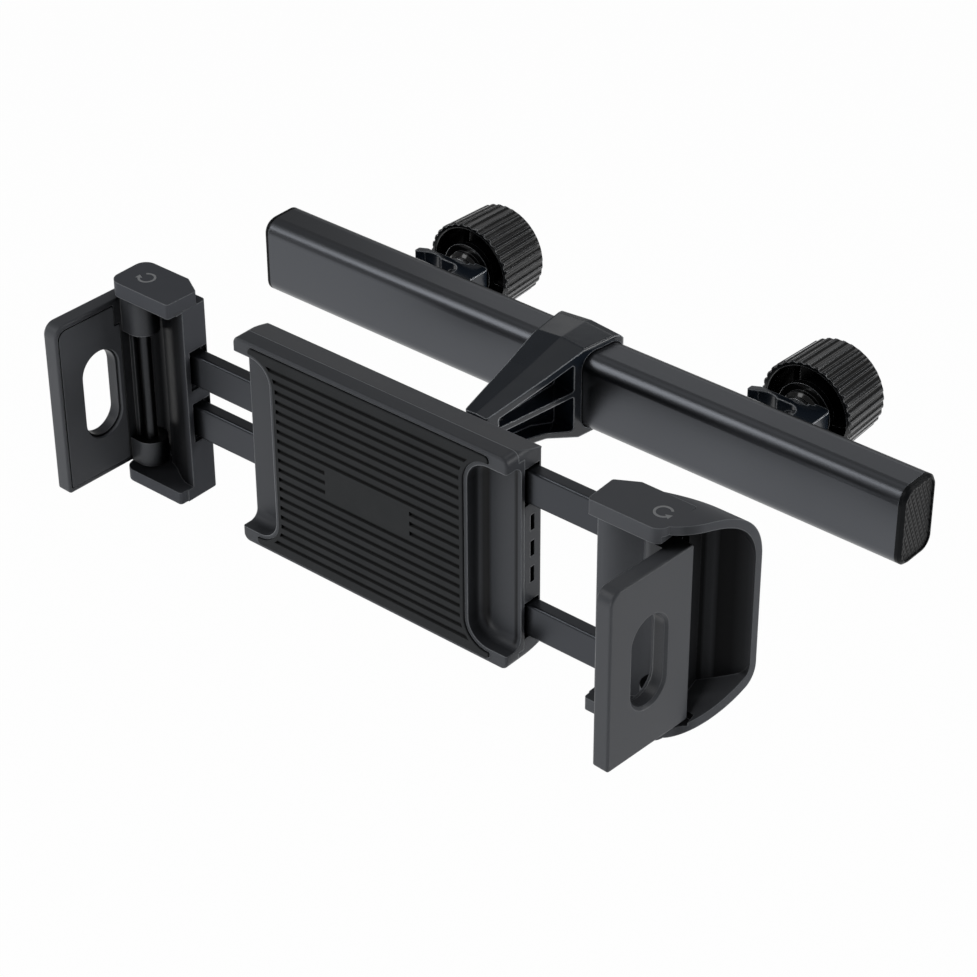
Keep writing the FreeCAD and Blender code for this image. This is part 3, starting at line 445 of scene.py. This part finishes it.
bar_finish = anodised_aluminium("aluminium_anodised_dark", "#515357", "#56585c",
                                roughness=0.31, line_mm=0.3, bulge_per_m=4.0)
rail_finish = anodised_aluminium("aluminium_rail_black", "#3f4145", "#45474b",
                                 roughness=0.32, line_mm=0.3, bulge_per_m=0.0)
print("anodised finishes:", bar_finish.name, rail_finish.name)

# %% [markdown]
# ## Silicone
# The pad and the flap liners are moulded silicone rubber. It is soft and slightly
# dusty: rough, with a weak reflection that the dust breaks up in patches of about
# 12 mm. Light that enters silicone spreads a little inside, but this rubber is dyed too
# dark to show it, so a plain surface does. The pad's grooves are narrow and deep, and
# their shade is painted in, nearly black. The liners are dyed a paler grey than the pad,
# close to the flaps that they sit in. The moulding grain is drawn at 0.4 mm.

# %% Rubber
SILICONE_IOR = 1.41
rubber_grain_mm = 0.4
dust_mm = 12
dust_spread = (-0.06, 0.05)
# Painted shade: the near black that the grooves are mixed toward.
groove_painted_shade = "#020202"


def silicone(name, colour, worn, roughness):
    """Matt rubber, slightly dusty, with painted shade in its grooves."""
    m = new_material(name)
    spot = place(m)
    fine = add(m, "ShaderNodeTexNoise", Vector=spot, Scale=grains(rubber_grain_mm), Detail=3.0)
    dust = add(m, "ShaderNodeTexNoise", Vector=spot, Scale=grains(dust_mm), Detail=6.0)
    tint = add(m, "ShaderNodeMix", {"data_type": "RGBA"}, Factor=dust.outputs["Fac"],
               i6=linear(colour), i7=linear(worn))
    gloss = add(m, "ShaderNodeMapRange", Value=dust.outputs["Fac"], From_Min=0.35, From_Max=0.7,
                To_Min=roughness + dust_spread[0], To_Max=roughness + dust_spread[1])
    # Painted shade: the grooves are mixed toward near black.
    groove = add(m, "ShaderNodeMix", {"data_type": "RGBA"},
                 Factor=openness(m, reach_mm=2.5, least=0.0, closed=0.55, clear=0.95),
                 i6=linear(groove_painted_shade), i7=tint.outputs[MIXED])
    bump = add(m, "ShaderNodeBump", Strength=0.4, Distance=0.04 * MM, Height=fine.outputs["Fac"])
    shader = add(m, "ShaderNodeBsdfPrincipled", Base_Color=groove.outputs[MIXED], IOR=SILICONE_IOR,
                 Specular_IOR_Level=0.2, Roughness=gloss.outputs[0], Normal=bump.outputs[0])
    return surface(m, shader)


silicone_pad = silicone("silicone_matt", "#1f2123", "#242628", roughness=0.55)
silicone_liner = silicone("silicone_liner", "#55575b", "#5b5d61", roughness=0.5)
print("rubbers:", silicone_pad.name, silicone_liner.name)

# %% [markdown]
# ## Steel
# Bolts, nuts, washers and the ball are turned or zinc-plated steel. Turning leaves
# rings round the part. They could be drawn one by one, but these parts are only a few
# millimetres across, and a noise of 0.6 mm in the roughness is enough to break up the
# reflection as the rings do. The hinge pins and screws are the same steel, blackened in
# an oxide bath.

# %% Bare and blackened steel
turning_mm = 0.6
turning_spread = (-0.05, 0.07)


def steel(name, colour, worn, roughness):
    """Turned steel with rounded edges."""
    m = new_material(name)
    marks = add(m, "ShaderNodeTexNoise", Vector=place(m), Scale=grains(turning_mm), Detail=4.0)
    tint = add(m, "ShaderNodeMix", {"data_type": "RGBA"}, Factor=marks.outputs["Fac"],
               i6=linear(colour), i7=linear(worn))
    gloss = add(m, "ShaderNodeMapRange", Value=marks.outputs["Fac"],
                From_Min=noise_low, From_Max=noise_high,
                To_Min=roughness + turning_spread[0], To_Max=roughness + turning_spread[1])
    rounded = add(m, "ShaderNodeBevel", {"samples": 4}, Radius=0.2 * MM)
    shader = add(m, "ShaderNodeBsdfPrincipled", Base_Color=tint.outputs[MIXED], Metallic=1.0,
                 Roughness=gloss.outputs[0], Normal=rounded.outputs[0])
    return surface(m, shader)


steel_zinc = steel("steel_zinc_plated", "#b4b6b8", "#9d9fa2", roughness=0.28)
steel_black = steel("steel_black_oxide", "#38393b", "#2e2f31", roughness=0.34)
print("steels:", steel_zinc.name, steel_black.name)

# %% [markdown]
# ## Hatched end caps
# The sunk face of each end cap carries a fine diamond hatch, cut into the mould by two
# sets of slanting grooves. Modelling each groove would take thousands of faces for
# something that never changes the outline, so they are drawn. Two sine waves at
# opposite slants give the two sets, and the lower of the two at each point is the
# groove depth. One set is deep and the other is shallow, so the face reads as slanting
# lines with a faint cross cut. The grooves are drawn darker than the face, as painted
# shade, and 1.8 mm apart. The face is flat and looks along X, so the pattern is laid in
# the Y-Z plane and stops where the surface turns away from X.

# %% Hatched cap plastic
hatch_leans = (0.41, -1.6)
cross_cut = 0.35
# How far along X a face has to look before the hatch starts on it, and is there in full.
face_turns = (0.9, 0.97)


def hatched_plastic(name, colour, groove_shade_colour, pitch_mm):
    """Moulded plastic with crossed diagonal grooves in painted shade, on faces that look along X."""
    m = new_material(name)
    where = add(m, "ShaderNodeTexCoord")
    point = add(m, "ShaderNodeSeparateXYZ", Vector=where.outputs["Object"])
    facing = add(m, "ShaderNodeSeparateXYZ", Vector=where.outputs["Normal"])
    turns = 2 * math.pi / (pitch_mm * MM)
    waves = []
    for lean in hatch_leans:
        rise = add(m, "ShaderNodeMath", {"operation": "MULTIPLY"}, i0=point.outputs["Z"], i1=lean)
        slant = add(m, "ShaderNodeMath", {"operation": "ADD"},
                    i0=point.outputs["Y"], i1=rise.outputs[0])
        phase = add(m, "ShaderNodeMath", {"operation": "MULTIPLY"},
                    i0=slant.outputs[0], i1=turns / math.hypot(1, lean))
        waves.append(add(m, "ShaderNodeMath", {"operation": "SINE"}, i0=phase.outputs[0]))
    deep, shallow = waves
    soft = add(m, "ShaderNodeMath", {"operation": "MULTIPLY"}, i0=shallow.outputs[0], i1=cross_cut)
    low = add(m, "ShaderNodeMath", {"operation": "MINIMUM"}, i0=deep.outputs[0], i1=soft.outputs[0])
    groove = add(m, "ShaderNodeMapRange", Value=low.outputs[0], From_Min=-1.0, From_Max=0.3)
    along = add(m, "ShaderNodeMath", {"operation": "ABSOLUTE"}, i0=facing.outputs["X"])
    rim = add(m, "ShaderNodeMapRange", Value=along.outputs[0],
              From_Min=face_turns[0], From_Max=face_turns[1], To_Min=1.0, To_Max=0.0)
    height = add(m, "ShaderNodeMath", {"operation": "MAXIMUM"}, i0=groove.outputs[0], i1=rim.outputs[0])
    # Painted shade: the grooves are mixed toward near black.
    tint = add(m, "ShaderNodeMix", {"data_type": "RGBA"}, Factor=height.outputs[0],
               i6=linear(groove_shade_colour), i7=linear(colour))
    rounded = add(m, "ShaderNodeBevel", {"samples": 6}, Radius=0.25 * MM)
    bump = add(m, "ShaderNodeBump", Strength=0.8, Distance=0.25 * MM,
               Height=height.outputs[0], Normal=rounded.outputs[0])
    shader = add(m, "ShaderNodeBsdfPrincipled", Base_Color=tint.outputs[MIXED], IOR=PLASTIC_IOR,
                 Specular_IOR_Level=0.08, Roughness=0.35, Normal=bump.outputs[0])
    return surface(m, shader)


# The second colour is the painted shade in the grooves.
cap_finish = hatched_plastic("abs_diamond_hatch", "#131517", "#040404", pitch_mm=1.8)
print("hatched plastic:", cap_finish.name)

# %% [markdown]
# ## Dress the CAD pieces
# Each piece keeps its exact CAD mesh and only gets its finish. Every piece could name
# its own, but many share one. So a short list says which beginnings of a name go with
# which finish, and the first match wins. What is left is housing.

# %% Assign finishes
finishes = [
    (bar_finish, ("cross_bar",)),
    (cap_finish, ("end_cap",)),
    (pc_bracket, ("slider_bracket", "clamp_jaw")),
    (steel_zinc, ("clamp_bolt", "knob_nut", "knob_washer")),
    (steel_black, ("arm_ball", "left_hinge_pin", "right_hinge_pin", "housing_screw")),
    (abs_knob, ("knob_", "collar_nut")),
    (pom_slide, ("clamp_slider", "inner_liner", "outer_liner", "left_guide", "right_guide")),
    (abs_front, ("front_shell",)),
    (silicone_pad, ("front_pad", "grip_pad")),
    (silicone_liner, ("left_flap_liner", "right_flap_liner")),
    (abs_flap, ("left_flap", "right_flap")),
    (abs_trough, ("left_clamp_block",)),
    (abs_dish, ("right_clamp_block",)),
    (rail_finish, ("left_upper_rail", "left_lower_rail", "right_upper_rail", "right_lower_rail")),
    (abs_housing, ("",)),
]
for name, piece in nodes.items():
    finish = next(material for material, starts in finishes if name.startswith(starts))
    piece.data.materials.clear()
    piece.data.materials.append(finish)
print("finished", len(nodes), "pieces with", len(finishes), "finishes")

# %% [markdown]
# ## Ink
# A small pale mark on each clamp's top plate tells the hand which way the flap turns.
# It is pad-printed: a soft pad lifts the ink from an etched plate and presses it on, a
# few hundredths of a millimetre thick. It could be a pattern in the plastic's own
# material. As a thin piece of its own it keeps a crisp edge, and its place can be
# measured from the pin that it belongs to. The ink is matt and a little uneven, with
# specks of 0.5 mm.

# %% Pad-printed ink
INK_IOR = 1.48
speck_mm = 0.5


def printed_ink(name, colour, worn):
    """Thin matt ink with a slightly uneven tone."""
    m = new_material(name)
    speck = add(m, "ShaderNodeTexNoise", Vector=place(m), Scale=grains(speck_mm), Detail=3.0)
    tint = add(m, "ShaderNodeMix", {"data_type": "RGBA"}, Factor=speck.outputs["Fac"],
               i6=linear(colour), i7=linear(worn))
    shader = add(m, "ShaderNodeBsdfPrincipled", Base_Color=tint.outputs[MIXED], IOR=INK_IOR,
                 Roughness=0.6)
    return surface(m, shader)


ink = printed_ink("ink_pad_printed", "#a3a5a7", "#85878a")
print("ink:", ink.name)

# %% [markdown]
# ## The shape of a mark
# The mark is a plain turning arrow: a ribbon that follows most of a circle, and a
# triangle at its end. A curve with a bevel would do for the ribbon, but not for the
# head, so both are built point by point in the plane of the plate. The flat shape is
# then lifted by the thickness of the ink.

# %% Flat and raised arrow
mark_radius = 2.5 * MM
mark_width = 0.75 * MM
mark_start = math.radians(40)
mark_sweep = math.radians(285)
mark_steps = 28
head_half_width = 1.1 * MM
head_length = 1.8 * MM
mark_thickness = 0.04 * MM


def spoke(side, angle):
    """Unit vector from the arrow's centre, mirrored for side -1."""
    return Vector((side * math.cos(angle), math.sin(angle), 0))


def flat_arrow(centre, side):
    """Ribbon and head in the plane of the plate, looking up."""
    mesh = bmesh.new()
    half = mark_width / 2
    rings = []
    for k in range(mark_steps + 1):
        ray = spoke(side, mark_start + mark_sweep * k / mark_steps)
        rings.append([mesh.verts.new(centre + ray * (mark_radius + d)) for d in (-half, half)])
    for a, b in zip(rings, rings[1:]):
        mesh.faces.new((a[0], a[1], b[1], b[0]))
    ray = spoke(side, mark_start + mark_sweep)
    ahead = spoke(side, mark_start + mark_sweep + math.pi / 2)
    head = [centre + ray * (mark_radius - head_half_width), centre + ray * (mark_radius + head_half_width),
            centre + ray * mark_radius + ahead * head_length]
    mesh.faces.new([mesh.verts.new(corner) for corner in head])
    bmesh.ops.recalc_face_normals(mesh, faces=mesh.faces)
    if mesh.faces[0].normal.z < 0:
        bmesh.ops.reverse_faces(mesh, faces=mesh.faces[:])
    return mesh


def raise_faces(mesh, thickness):
    """Give flat faces a thickness, upward."""
    top = bmesh.ops.extrude_face_region(mesh, geom=mesh.faces[:])
    lifted = [part for part in top["geom"] if isinstance(part, bmesh.types.BMVert)]
    bmesh.ops.translate(mesh, verts=lifted, vec=(0, 0, thickness))
    bmesh.ops.recalc_face_normals(mesh, faces=mesh.faces)


print("a mark is", round((mark_radius + mark_width / 2) * 2 / MM, 2), "mm across")

# %% [markdown]
# ## The marks on the clamps
# Each mark lies on its clamp's top plate, over the hinge pin that the flap turns on.
# The plate's height and the pin's place are measured from the CAD pieces, so that the
# mark would follow if they changed. It then rides on the clamp's own body. A few lines
# that turn a built mesh into an object stand in a helper, because the studio's floor
# needs them too.

# %% Turning-arrow marks


def mesh_object(name, mesh, material):
    """Object in the scene from a built mesh, with one material."""
    data = bpy.data.meshes.new(name)
    mesh.to_mesh(data)
    mesh.free()
    data.materials.append(material)
    made = bpy.data.objects.new(name, data)
    bpy.context.scene.collection.objects.link(made)
    return made


def turning_arrow(name, plate, hinge, body, side, inward):
    """Arrow on a top plate, inward of the hinge pin; side is -1 left or +1 right."""
    pin_low, pin_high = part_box(hinge)
    pin = (pin_low + pin_high) / 2
    mesh = flat_arrow(Vector((pin.x + inward, pin.y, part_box(plate)[1].z)), side)
    raise_faces(mesh, mark_thickness)
    piece = mesh_object(name, mesh, ink)
    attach(piece, body)
    return piece


left_mark = turning_arrow("left_turn_mark", "left_clamp_block", "left_hinge_pin", "left_arm",
                          side=-1, inward=3.4 * MM)
right_mark = turning_arrow("right_turn_mark", "right_clamp_block", "right_hinge_pin", "right_arm",
                           side=1, inward=-0.3 * MM)
print("marks:", left_mark.name, right_mark.name)

# %% [markdown]
# ## The camera
# The photograph was taken with a long lens from the front right and above. These
# values came from lining up the bar's and the holder's corners. A camera could be aimed
# by a constraint, but that leaves out its slight roll. A camera in Blender looks along
# its own -Z with +Y up, so its three axes are the columns of its matrix, and the roll
# turns two of them.

# %% Camera
camera_azimuth = math.radians(40.25)
camera_height = math.radians(33.79)
camera_roll = math.radians(-0.24)
camera_distance = 929.75 * MM
camera_aim_right = -27.08 * MM
camera_aim_up = -35.99 * MM
camera_focal_pixels = 2985.3
frame_pixels = 977

back = Vector((math.sin(camera_azimuth) * math.cos(camera_height),
               -math.cos(camera_azimuth) * math.cos(camera_height), math.sin(camera_height)))
level = Vector((math.cos(camera_azimuth), math.sin(camera_azimuth), 0))
upright = back.cross(level)
right = level * math.cos(camera_roll) + upright * math.sin(camera_roll)
up = upright * math.cos(camera_roll) - level * math.sin(camera_roll)
eye = right * camera_aim_right + up * camera_aim_up + back * camera_distance

lens = bpy.data.cameras.new("studio_camera")
lens.sensor_width = 36.0
lens.lens = camera_focal_pixels / frame_pixels * lens.sensor_width
camera = bpy.data.objects.new("studio_camera", lens)
camera.matrix_world = Matrix.Translation(eye) @ Matrix((right, up, back)).transposed().to_4x4()
bpy.context.scene.collection.objects.link(camera)
bpy.context.scene.camera = camera
bpy.context.scene.view_settings.view_transform = "Standard"
print("focal length in mm:", round(lens.lens, 1))

# %% [markdown]
# ## White paper
# The studio's floor is a sheet of white paper. More light could turn it white, but it
# would bleach the mount as well. So rays from the camera, and rays that gloss or glass
# sends on, see plain white. A little of the floor's own shade stays in it, and with it
# a soft shadow. The paper's fibres are drawn as a noise of 3 mm.

# %% Paper that shows white
white_share = 0.98
fibre_mm = 3

paper = new_material("paper_white")
rays = add(paper, "ShaderNodeLightPath")
camera_or_gloss = add(paper, "ShaderNodeMath", {"operation": "MAXIMUM"},
                      i0=rays.outputs["Is Camera Ray"], i1=rays.outputs["Is Glossy Ray"])
seen = add(paper, "ShaderNodeMath", {"operation": "MAXIMUM"},
           i0=camera_or_gloss.outputs[0], i1=rays.outputs["Is Transmission Ray"])
share = add(paper, "ShaderNodeMath", {"operation": "MULTIPLY"}, i0=seen.outputs[0], i1=white_share)
fibre = add(paper, "ShaderNodeTexNoise", Vector=place(paper), Scale=grains(fibre_mm), Detail=2.0)
shade = add(paper, "ShaderNodeMix", {"data_type": "RGBA"}, Factor=fibre.outputs["Fac"],
            i6=linear("#f4f4f4"), i7=linear("#f7f7f7"))
matt = add(paper, "ShaderNodeBsdfDiffuse", Color=shade.outputs[MIXED])
glow = add(paper, "ShaderNodeEmission", Color=(1, 1, 1, 1), Strength=1.0)
surface(paper, add(paper, "ShaderNodeMixShader", i0=share.outputs[0], i1=matt.outputs[0],
                   i2=glow.outputs[0]))
print("paper:", paper.name)

# %% [markdown]
# ## The floor
# A mount has no feet and hangs on its posts, so the floor lies well below its lowest
# piece. One square is enough: at 6 m it reaches past the picture on every side.

# %% Floor
floor_drop = 260 * MM
floor_size = 6.0

cad_low = min(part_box(name)[0].z for name in nodes)
floor_shape = bmesh.new()
bmesh.ops.create_grid(floor_shape, x_segments=1, y_segments=1, size=floor_size / 2)
floor = mesh_object("studio_floor", floor_shape, paper)
floor.location = (0, 0, cad_low - floor_drop)
print("floor at", round(floor.location.z, 3), "m")

# %% [markdown]
# ## The world
# The space above the floor shows white to the camera and through glass, as the floor
# does, and lights everything else a little. Glossy faces see it at a small share,
# because the studio's walls are hung with black cloth above the mount: that keeps the
# plastic black where no lamp is mirrored. A picture of a real studio could stand here,
# but its lamps could not be moved.

# %% World
cloth_share = 0.15
room_light = 0.08

world = bpy.data.worlds.new("studio_world")
world.use_nodes = True
world.node_tree.nodes.clear()
paths = add(world, "ShaderNodeLightPath")
mirrored = add(world, "ShaderNodeMath", {"operation": "MULTIPLY"},
               i0=paths.outputs["Is Glossy Ray"], i1=cloth_share)
direct = add(world, "ShaderNodeMath", {"operation": "MAXIMUM"},
             i0=paths.outputs["Is Camera Ray"], i1=paths.outputs["Is Transmission Ray"])
white_part = add(world, "ShaderNodeMath", {"operation": "MAXIMUM"},
                 i0=direct.outputs[0], i1=mirrored.outputs[0])
dim = add(world, "ShaderNodeBackground", Color=(1, 1, 1, 1), Strength=room_light)
white = add(world, "ShaderNodeBackground", Color=(1, 1, 1, 1), Strength=1.0)
mixed = add(world, "ShaderNodeMixShader", i0=white_part.outputs[0], i1=dim.outputs[0],
            i2=white.outputs[0])
add(world, "ShaderNodeOutputWorld", Surface=mixed.outputs[0])
bpy.context.scene.world = world
print("room light:", room_light)

# %% [markdown]
# ## The lamps
# Dark plastic shows its form mostly by what it mirrors, so each lamp is a soft box
# placed where a family of faces reflects it. A sun or a point lamp would leave hard
# sparks there. A large box in front lights the faces that look at the camera, and a
# small one at the left lights the far sides. A tall strip high at the front left is
# mirrored in the bar's rounded upper corner as one bright band. A box at the back right
# lights the end faces and the knobs' flanks. A weak one low behind and one overhead lie
# in the mirror direction of the top faces, and a small bright one behind gives the
# knobs' ribs their fine lines.

# %% Soft boxes
mount_middle = Vector((0, -0.04, 0))


def soft_box(name, position, size, watts):
    """Rectangular area lamp aimed at the middle of the mount."""
    data = bpy.data.lights.new(name, "AREA")
    data.shape = "RECTANGLE"
    data.size, data.size_y = size
    data.energy = watts
    lamp = bpy.data.objects.new(name, data)
    lamp.location = position
    lamp.rotation_euler = (mount_middle - Vector(position)).to_track_quat("-Z", "Y").to_euler()
    bpy.context.scene.collection.objects.link(lamp)
    return lamp


lamps = [
    soft_box("front", (0.1, -1.3, 0.1), (0.5, 0.5), watts=4.5),
    soft_box("side_left", (-1.15, -0.5, 0.0), (0.4, 0.4), watts=3),
    soft_box("strip_front_left", (-0.68, -0.7, 0.9), (0.4, 0.8), watts=3.4),
    soft_box("side_back_right", (1.06, 0.69, 0.27), (0.6, 0.6), watts=7),
    soft_box("back_left", (-0.31, 0.63, 0.38), (0.5, 0.28), watts=0.27),
    soft_box("overhead", (-0.55, 0.28, 1.13), (0.5, 0.5), watts=0.3),
    soft_box("knob_light", (0.08, 0.68, 0.83), (0.16, 0.16), watts=0.8),
]
print("lamps:", len(lamps), "with", round(sum(lamp.data.energy for lamp in lamps), 2), "W in all")
